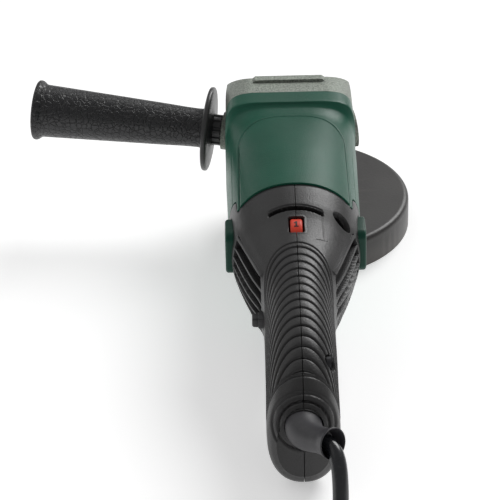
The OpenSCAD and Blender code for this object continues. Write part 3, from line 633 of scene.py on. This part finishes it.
# The plug: a ribbed neck that opens into a flat two-pin body, lying on its wide side
plug_rings = []
for t, w, h, r in [(0, 11, 11, 5.4), (0.5, 11.6, 11.6, 5.7), (4, 12, 12, 5.9), (4.3, 10.6, 10.6, 5.2),
                   (5.6, 10.6, 10.6, 5.2), (5.9, 12.4, 12.4, 6.1), (9, 13, 13, 6.4), (9.3, 11.6, 11.6, 5.7),
                   (10.6, 11.6, 11.6, 5.7),
                   (10.9, 13.4, 14, 6.6), (15, 14, 16, 6.6), (19, 15, 22, 6.8), (23, 16.4, 31, 7),
                   (27, 17, 35.4, 7), (33, 17, 36, 7), (40, 17, 36, 7), (41.4, 16.4, 35.4, 6.8),
                   (42, 14.8, 33.8, 6)]:
    o = rounded_outline(w, h, min(r, w / 2 - 0.05))
    plug_rings.append(np.stack([np.full(len(o), PLUG[0] - t), PLUG[1] + o[:, 1], PLUG[2] + o[:, 0]], 1))
plug = recalc(swept("mains_plug", plug_rings, angle=35))
finish_piece(plug, "housing", ["plug_body"], plug_mat)

PIN_SIDES = 20
pin_steps, pin_radii = (0, 9, 9.2, 17, 18.4, 19.2, 19.5), (2.1, 2.1, 2.35, 2.35, 2.2, 1.5, 0.6)
pins = []
for side in (-1, 1):
    path = [(PLUG[0] - 41.5 - d, PLUG[1] + side * 9.5, PLUG[2]) for d in pin_steps]
    pins.append(frame_rings(path, pin_radii, PIN_SIDES))
pin_verts = np.concatenate([p.reshape(-1, 3) for p in pins])
pin_faces = []
for k in range(2):
    off = k * len(pin_steps) * PIN_SIDES
    for i in range(len(pin_steps) - 1):
        a, b = off + i * PIN_SIDES, off + (i + 1) * PIN_SIDES
        for j in range(PIN_SIDES):
            after = (j + 1) % PIN_SIDES
            pin_faces.append((a + j, a + after, b + after, b + j))
    pin_faces.append(tuple(off + j for j in range(PIN_SIDES)))
    pin_faces.append(tuple(off + (len(pin_steps) - 1) * PIN_SIDES + j for j in range(PIN_SIDES)))
plug_pins = recalc(mesh_object("plug_pin_pair", pin_verts, pin_faces, angle=35))
finish_piece(plug_pins, "housing", ["plug_pins"], nickel_mat)

[metres(p) for p in cord_line]

# ---------- rear housing and handle ----------

HANDLE = [
    (-117, 35.7, 37.1, -36.4, 2.25), (JOINT_Y, 35.3, 36.7, -35.8, 2.2), (-146, 34.2, 33.9, -34.6, 2.14),
    (-158, 31.8, 29.6, -33.4, 2.1), (-170, 28.9, 26.7, -32.4, 2.1), (-183, 25.1, 24.9, -32, 2.1),
    (-195, 20.8, 23.3, -32.2, 2.12), (-205, 18.8, 21.9, -33, 2.15), (-216, 18.1, 20.1, -35, 2.2),
    (-232, 18, 17, -38, 2.2),
    (-248, 18, 12, -45.5, 2.2), (-260, 18.2, 6, -55.5, 2.2), (-266, 18.3, 2.2, RIM_Z + 0.2, 2.2),
    (-272, 18, -2.5, -56.4, 2.25), (-276, 16.4, -6.5, -53.4, 2.3), (-279, 13.5, -11, -48.6, 2.3),
]
QUICK_FACTOR = 1.0


def box_pit(dx, dy, rx, ry, corner, soft):
    """1 inside a rounded box, falling to 0 across soft millimetres."""
    qx, qy = np.abs(dx) - rx + corner, np.abs(dy) - ry + corner
    d = np.hypot(np.maximum(qx, 0), np.maximum(qy, 0)) + np.minimum(np.maximum(qx, qy), 0) - corner
    return smoothstep(0.5 - d / soft), d


def handle_shell(side):
    count_y, count_a = int(560 * QUICK_FACTOR), int(300 * QUICK_FACTOR)
    ys = np.linspace(-117.5, -279, count_y)
    angles = np.linspace(-math.pi / 2, math.pi / 2, count_a)
    if side < 0:
        angles = math.pi - angles
    p = body_surface(HANDLE, ys, angles)
    X, Y, Z = p[..., 0], p[..., 1], p[..., 2]
    phi = np.abs(90 - np.degrees(np.broadcast_to(angles[None, :], X.shape)))
    phi = np.where(phi > 180, 360 - phi, phi)
    n, _ = grid_normals(p)
    d = np.zeros_like(X)
    hole = np.zeros_like(X, bool)

    # grip ribs: nested arcs that sweep back down the sides
    sweep = 14.0 * (phi / 39.0) ** 2
    slope = 2 * 14.0 / 39.0**2 * phi / (math.radians(1) * 20)
    u = -(Y + sweep) - 180
    pitch = 6.0
    k = np.round(u / pitch)
    dist = (u - k * pitch) / np.sqrt(1 + slope**2)
    zone_front = smoothstep((u + 4.6) / 0.8)
    zone_rear = smoothstep((Y + 265.5) / 1.2)
    zone_side = smoothstep((84 - phi) / 3)
    zone = zone_front * zone_rear * zone_side * (k >= 0)
    crown = 0.32 * (1 - np.abs(2 * (u / pitch - np.floor(u / pitch)) - 1) ** 2.2)
    d += zone * (groove(dist, 0.42, 0.85) + crown / np.sqrt(1 + 0.4 * slope))
    first = (u + 4) / np.sqrt(1 + slope**2)
    d += zone_side * zone_rear * (Y > -262) * groove(first, 0.45, 0.7)
    last = Y + 266
    d += groove(last, 0.5, 0.7) * smoothstep((100 - phi) / 6)
    # border of the grip zone down the flat sides
    d += groove((phi - 86) * 0.33, 0.5, 0.5) * smoothstep((-Y - 190) / 6) * smoothstep((Y + 264) / 3)

    # crescent vent on top
    yc = -149.6 - 0.0085 * X**2
    t = yc - Y
    ends = smoothstep((14.6 - np.abs(X)) / 1.0)
    on_top = Z > 5
    lip = -0.4 * smoothstep((t + 1.5) / 0.6) * (t < 2.6)
    d += on_top * ends * (lip - 3.6 * smoothstep((t + 0.3) / 0.5) * smoothstep((2.6 - t) / 0.5))

    # window of the dial
    win, wd = box_pit(X, Y + 162.2, 3.95, 5.6, 1.0, 0.5)
    d -= on_top * win * 2.2
    hole |= on_top & (wd < -0.35)
    rim, _ = box_pit(X, Y + 162.2, 4.9, 6.6, 1.5, 0.9)
    d += on_top * (rim - win) * 0.15

    # gills: level slots that run back along the taper on both sides
    inner_edge = np.abs(X) - np.maximum(30.6 + 0.30 * (Y + 148), 19.5)
    for level in range(7):
        zc = 16.2 - 5.3 * level
        half = 1.25 if level == 0 else 1.85
        dz = np.abs(Z - zc - 0.02 * (Y + 170)) - half
        dy = np.maximum(Y - (-150.5 - 0.25 * level), -(Y + 200))
        dx = -inner_edge
        g = np.maximum(np.maximum(dz, dy), dx)
        side_on = np.abs(X) > 15
        d -= side_on * 3.4 * smoothstep(0.5 - g / 0.6)
        hole |= side_on & (g < -0.75)

    # lens-shaped opening high on the right
    if side > 0:
        ax, az = 18.8, 26.6
        bx, bz = 28.2, 17.2
        length = math.hypot(bx - ax, bz - az)
        tx, tz = (bx - ax) / length, (bz - az) / length
        s = ((X - ax) * tx + (Z - az) * tz) / length
        width = 3.5 * np.clip(4 * s * (1 - s), 0, 1) ** 0.6
        off = Y - (-149.0 - 2.4 * s)
        g = np.where((s > 0) & (s < 1), np.abs(off) - width, 5.0)
        g = np.where(Z > 0, g, 5.0)
        d -= 2.8 * smoothstep(0.4 - g / 0.7)
        hole |= g < -0.9
        # the cover's faint parting line, beside the dial
        along = np.abs(X - 14.0 + 0.05 * (Y + 160)) + (Y < -171) * 5 + (Y > -153.5) * 5
        across = np.abs(Y + 171 - 0.25 * (X - 13)) + (X < 10) * 5 + (X > 16) * 5
        line = np.minimum(along, across)
        d += on_top * groove(line, 0.3, 0.2)

    # ridge that frames the gills from above
    ridge = np.abs(X) - (31.0 + 0.30 * (Y + 148))
    rz = (Y < -139) & (Y > -188) & (Z > 5)
    d += rz * 0.55 * np.exp(-((ridge / 1.1) ** 2))

    # tongue: the shell runs forward only at the side, with a rounded front
    _, td = box_pit(Y + 140, Z, 22.0, 20.4, 6.0, 0.6)
    before = (Y > -132.4) & (td > -0.05)
    hole |= before

    # opening for the brush cover
    bc, bd = box_pit(Y - BRUSH_Y, Z - BRUSH_Z, 11.2, 12.7, 5.2, 0.5)
    side_face = np.abs(X) > 20
    d -= side_face * bc * 0.8
    hole |= side_face & (bd < -0.3)

    # trigger opening, lock button hole and handle screw pockets
    tr, trd = box_pit(X, Y + 223.2, 8.0, 28.6, 3.0, 0.6)
    under = Z < -24
    d -= under * tr * 0.9
    hole |= under & (trd < -0.35)
    if side < 0:
        _, lb = box_pit(Y - LOCK_Y, Z - LOCK_Z, 4.3, 3.9, 1.6, 0.5)
        d -= (X < -8) * 0.7 * smoothstep(0.5 - lb / 0.6)
        hole |= (X < -8) & (lb < -0.25)
    if side > 0:
        for sy, sz in SCREW_PLACES:
            d -= 5.4 * smoothstep(0.5 - (np.hypot(Y - sy, Z - sz) - 4.1) / 0.7)

    # rings round the cord's exit on the end face
    rr = np.hypot(X, Z - CORD_Z)
    end_face = smoothstep((-270.5 - Y) / 2.5)
    d += end_face * (groove(rr - 12.6, 0.5, 1.2) + groove(rr - 15.6, 0.55, 0.9))
    hole |= (Y < -272) & (rr < CORD_HOLE_R)

    # the collar's notches, a thin step where black meets green
    d -= 0.35 * smoothstep((Y + 134.7) / 1.0) * (Y > -135.5) * (np.abs(Z) > 21)

    outer = p + n * d[..., None]
    inner = p + n * (np.minimum(d, 0) * 0.9 - 2.4)[..., None]
    outer[:, [0, -1], 0] = side * SEAM_OUTSIDE
    inner[:, [0, -1], 0] = side * SEAM_INSIDE
    cells = ~(hole[:-1, :-1] | hole[1:, :-1] | hole[:-1, 1:] | hole[1:, 1:])
    return outer, inner, cells


def end_cap(side, ring, steps=26):
    """The flat end of the handle, from the loft's last ring in to the cord's hole."""
    centre = np.array([0, END_Y, CORD_Z])
    grid = []
    for i in range(steps + 1):
        t = i / steps
        row = []
        for q in ring:
            outward = np.array([q[0], 0, q[2] - CORD_Z])
            rim = centre + outward / max(np.linalg.norm(outward), 1e-6) * CORD_HOLE_R
            pt = q * (1 - t) + rim * t
            r = math.hypot(pt[0], pt[2] - CORD_Z)
            pt[1] = END_Y + 0.9 * math.exp(-((r - 13.4) / 0.55) ** 2)
            row.append(pt)
        grid.append(row)
    g = np.array(grid)
    back = g.copy()
    back[..., 1] += 2.6
    g[:, [0, -1], 0] = side * SEAM_OUTSIDE
    back[:, [0, -1], 0] = side * SEAM_INSIDE
    return g, back


for side, name, node in ((-1, "left_shell", "left_handle_shell"), (1, "right_shell", "right_handle_shell")):
    outer, inner, cells = handle_shell(side)
    shell = recalc(shell_solid(name, outer, inner, cells, angle=50))
    finish_piece(shell, "housing", [node], black_mat)
    g, back = end_cap(side, outer[-1])
    whole = np.ones((g.shape[0] - 1, g.shape[1] - 1), bool)
    cap = recalc(shell_solid(name + "_end", g, back, whole, angle=50))
    finish_piece(cap, "housing", [], black_mat)

# ---------- motor housing ----------

HOUSING = [
    (-21, 36.5, 36.5, -36, 6.5), (-31.5, 36.9, 36.5, -36, 6.2), (-33.4, 37, 36.4, -36, 5.8),
    (-34.3, 36.7, 35.2, -36, 5.0),
    (-37, 36.5, 33.8, -36.2, 4.1), (-43, 36.8, 33.6, -36.7, 3.4), (-53, 36.9, 34.9, -37.1, 2.9),
    (-75, 36.5, 36.6, -37.3, 2.55),
    (-95, 36.1, 37.2, -37.2, 2.4), (JOINT_Y, 35.4, 37.2, -36.4, 2.2),
]


def motor_housing():
    fine = np.concatenate([np.linspace(-21, -30, 12, endpoint=False),
                           np.linspace(-30, -60, int(110 * QUICK_FACTOR), endpoint=False),
                           np.linspace(-60, JOINT_Y, int(190 * QUICK_FACTOR))])
    angles = np.linspace(-math.pi, math.pi, int(640 * QUICK_FACTOR), endpoint=False) - math.pi / 2
    p = body_surface(HOUSING, fine, angles)
    X, Y, Z = p[..., 0], p[..., 1], p[..., 2]
    n, _ = grid_normals(p)
    d = np.zeros_like(X)
    top = Z > 0
    # engraved arch on top
    side_g = (np.abs(X) / 29.4) ** 2.6
    arch = side_g + np.where(Y > -72, (np.clip(Y + 72, 0, None) / 25) ** 2.4, 0) - 1
    dist = surface_distance(arch, p)
    d += top * groove(dist, 0.6, 1.7)
    d += top * 0.3 * smoothstep(-dist / 0.8)
    # a second line outside the first, down the shoulder
    dist2 = surface_distance((np.abs(X) / 33.2) ** 2.4 - 1, p)
    d += top * groove(dist2, 0.4, 0.28) * smoothstep((-Y - 62) / 14)
    # tongue recess at the sides
    _, td = box_pit(Y + 140, Z, 22.4, 20.8, 6.4, 0.5)
    hole = (td < 0.0) & (np.abs(X) > 20)
    # cooling slots low on the sides, near the gear head
    for k in range(4):
        s, _ = box_pit(Y + 50, Z + 8 + 6.0 * k, 7.0, 1.5, 1.4, 0.5)
        d -= (np.abs(X) > 20) * (Z < 0) * s * 2.6
    outer = p + n * d[..., None]
    inner = p - n * 1.9
    cells = ~(hole[:-1] | hole[1:] | np.roll(hole, -1, 1)[:-1] | np.roll(hole, -1, 1)[1:])
    return outer, inner, cells


outer, inner, cells = motor_housing()
housing = recalc(shell_solid("motor_shell", outer, inner, cells, closed=True, angle=50))
finish_piece(housing, "housing", ["motor_housing"], green_mat)

# ---------- side handle ----------


def lathe(name, start, direction, profile, sides=96, angle=35, flutes=None):
    """A turned solid. profile holds (distance along the axis, radius), flutes (count, depth, first t, last t)."""
    axis = np.array(direction, float)
    axis /= np.linalg.norm(axis)
    u = np.cross(axis, (0, 0, 1.0))
    u /= np.linalg.norm(u)
    v = np.cross(axis, u)
    a = np.linspace(0, 2 * np.pi, sides, endpoint=False)
    rings = []
    for t, r in profile:
        rr = np.full(sides, float(r))
        if flutes and flutes[2] <= t <= flutes[3]:
            rr -= flutes[1] * (np.cos(flutes[0] * a) > 0.3)
        spokes = np.cos(a)[:, None] * u + np.sin(a)[:, None] * v
        rings.append(np.array(start) + axis * t + rr[:, None] * spokes)
    return recalc(swept(name, rings, angle=angle))


HANDLE_ROOT = (-36, 0, 2)
HANDLE_DIR = (-0.98528, 0.15605, 0.06976)
grip_t = np.concatenate([[11.8], np.linspace(12.6, 107.6, 160)])
grip_r = pchip([11.8, 13.4, 17, 40, 62, 84, 104, 107.6], [12.8, 11.8, 11.3, 12.3, 13.3, 14.3, 15.2, 15.35],
               grip_t)
grip_end = [(108.4, 15.6), (109.2, 16.2), (110.0, 16.9), (110.9, 17.35), (111.8, 17.5), (112.7, 17.35),
            (113.3, 16.8), (113.6, 15.8),
            (113.4, 14.4), (112.9, 12.2), (112.7, 9.0), (112.6, 6.2), (112.6, 3.0), (112.6, 0.4)]
grip = lathe("side_grip", HANDLE_ROOT, HANDLE_DIR, list(zip(grip_t, grip_r)) + grip_end, 120, 45)
finish_piece(grip, "housing", ["side_handle_grip"], grip_mat)
flange = lathe("side_grip_flange", HANDLE_ROOT, HANDLE_DIR, [
    (2.6, 7.6), (2.9, 8.4), (3.4, 9.0), (5.0, 9.0), (6.4, 9.0), (7.6, 9.0), (8.2, 9.6), (8.7, 11.5),
    (9.0, 16), (9.1, 22.2), (9.4, 23.6),
    (9.8, 24.3), (10.4, 24.5), (11.2, 24.5), (11.8, 24.3), (12.2, 23.7), (12.4, 22.8), (12.2, 21.4),
    (11.9, 19), (12.1, 16.2),
    (12.5, 14.2), (13.0, 13.0), (13.1, 10.5)], 144, 30, (12, 0.9, 3.3, 7.7))
finish_piece(flange, "housing", [], flange_mat)

# ---------- boot ----------

BOOT_RINGS = 34
MOUTH_R = 8.0
boot_path = smooth_path([(0, -271.5, -19), (0, -281, -19), (2.5, -289, -17.6), (7, -296.6, -15),
                         (13, -304, -12.4)],
                        BOOT_RINGS)
boot_t = np.linspace(0, 1, BOOT_RINGS)
boot_r = pchip([0, 0.26, 0.42, 0.6, 0.74, 0.86, 0.95, 1.0], [9.4, 9.1, 8.3, 7.1, 6.6, 6.7, 7.5, MOUTH_R],
               boot_t)
boot_outer = frame_rings(boot_path, boot_r, 48)
mouth = boot_path[-1]
back = mouth - boot_path[-3]
back /= np.linalg.norm(back)
mouth_rings = []
for step_back, radius in ((-0.25, 7.8), (-0.25, 7.4), (0.2, 7.1), (1.5, 6.7), (4.5, 6.0), (6.5, 5.4),
                          (7.0, 3.2)):
    mouth_rings.append(mouth - back * step_back + (boot_outer[-1] - mouth) / MOUTH_R * radius)
boot = recalc(swept("cord_guard_boot", np.concatenate([boot_outer, np.array(mouth_rings)]), angle=50))
finish_piece(boot, "housing", ["cord_boot"], boot_mat)

# ---------- brush covers ----------

for side, name, node in ((-1, "left_cover_plate", "left_brush_cover"),
                         (1, "right_cover_plate", "right_brush_cover")):
    rings = []
    for depth, inset in ((32.8, 0), (36.0, 0), (36.5, 0.12), (36.9, 0.4), (37.2, 0.8), (37.4, 1.4),
                         (37.4, 3.2), (37.0, 3.7),
                         (36.9, 4.0), (36.9, 9.0)):
        o = rounded_outline(21.6 - 2 * inset, 24.6 - 2 * inset, max(5.0 - inset * 0.8, 0.6), 10)
        rings.append(np.stack([np.full(len(o), side * depth), BRUSH_Y + o[:, 0], BRUSH_Z + o[:, 1]], 1))
    cover = recalc(swept(name, rings, angle=32))
    finish_piece(cover, "housing", [node], cover_mat)

# ---------- speed dial, lock button ----------

dial = lathe("dial_wheel", (DIAL[0] - 3.1, DIAL[1], DIAL[2]), (1, 0, 0), [
    (-4.2, 1.9), (-0.02, 1.9), (0, 7.6), (0.0, 8.1), (0.25, 8.5), (0.7, 8.76), (1.2, 8.8), (5.0, 8.8),
    (5.5, 8.76), (5.95, 8.5),
    (6.2, 8.1), (6.2, 7.6), (6.22, 1.9), (10.4, 1.9)], 96, 32)
finish_piece(dial, "speed_dial", ["speed_dial"], red_mat)


def dial_digit():
    """A numeral one, bent round the dial's rim: a stem, a flag and a foot."""
    verts, faces = [], []
    stem = [[(-0.45, h), (0.45, h), (0.45, h + 0.8), (-0.45, h + 0.8)] for h in (-2.0, -1.2, -0.4, 0.4, 1.2)]
    for outline in stem + [[(-1.3, 0.9), (-1.0, 0.3), (-0.4, 0.9), (-0.45, 1.9)],
                           [(-1.15, -2.02), (1.15, -2.02), (1.15, -1.4), (-1.15, -1.4)]]:
        base = len(verts)
        for r in (8.6, 8.93):
            for x, h in outline:
                a = math.radians(-14) + h / 8.8
                verts.append((x, DIAL[1] + r * math.sin(a), DIAL[2] + r * math.cos(a)))
        faces.append(tuple(base + i for i in range(4)))
        faces.append(tuple(base + 4 + i for i in range(4))[::-1])
        for i in range(4):
            faces.append((base + i, base + (i + 1) % 4, base + 4 + (i + 1) % 4, base + 4 + i))
    return recalc(mesh_object("dial_numeral", verts, faces, smooth=False))


finish_piece(dial_digit(), "speed_dial", [], mark_mat)

button_rings = []
for depth, w, h, r in ((10.2, 6.6, 5.8, 1.6), (13.0, 6.6, 5.8, 1.6), (13.1, 8.4, 7.4, 1.8),
                       (15.2, 8.4, 7.4, 1.8), (15.3, 7.8, 7.0, 1.7),
                       (20.4, 7.7, 6.9, 1.7), (20.9, 7.3, 6.5, 1.6), (21.0, 6.4, 5.8, 1.5),
                       (23.2, 6.2, 5.6, 1.5), (23.9, 5.6, 5.0, 1.4),
                       (24.15, 4.4, 3.8, 1.2)):
    o = rounded_outline(w, h, r, 6)
    button_rings.append(np.stack([np.full(len(o), -depth), LOCK_Y + o[:, 0], LOCK_Z + o[:, 1]], 1))
button = recalc(swept("lock_push_button", button_rings, angle=35))
finish_piece(button, "lock_button", ["lock_button"], trigger_mat)

# ---------- floor, light ----------

floor = bpy.data.meshes.new("floor")
size = 6
floor_level = (RIM_Z + AXIS_Z) * MM
corners = [(x, y, floor_level) for x, y in ((-size, -size), (size, -size), (size, size), (-size, size))]
floor.from_pydata(corners, [], [(0, 1, 2, 3)])
floor_obj = bpy.data.objects.new("floor", floor)
bpy.context.collection.objects.link(floor_obj)
fn = Nodes("pale_floor")
fn.done(fn.ramp(fn.noise(3, 2, 0.5), [(0.3, (0.93, 0.93, 0.93)), (0.7, (0.95, 0.95, 0.95))]))
fn.bsdf.inputs["Roughness"].default_value = 0.9
fn.bsdf.inputs["Specular IOR Level"].default_value = 0.0
fn.bsdf.inputs["Emission Color"].default_value = (1, 1, 1, 1)
fn.bsdf.inputs["Emission Strength"].default_value = 0.4
floor.materials.append(fn.mat)

world = bpy.data.worlds.new("studio")
bpy.context.scene.world = world
world.use_nodes = True
world.node_tree.nodes["Background"].inputs[0].default_value = (1, 1, 1, 1)
world.node_tree.nodes["Background"].inputs[1].default_value = 0.3


def sun(name, direction, strength, angle):
    light = bpy.data.lights.new(name, "SUN")
    light.energy, light.angle = strength, math.radians(angle)
    obj = bpy.data.objects.new(name, light)
    bpy.context.collection.objects.link(obj)
    obj.rotation_mode = "QUATERNION"
    obj.rotation_quaternion = (-Vector(direction)).to_track_quat("-Z", "Y")
    return obj


sun("key", (0.42, 0.62, 0.62), 1.9, 35)
sun("fill", (-0.6, 0.3, 0.7), 0.35, 60)
bpy.context.scene.view_settings.view_transform = "Standard"
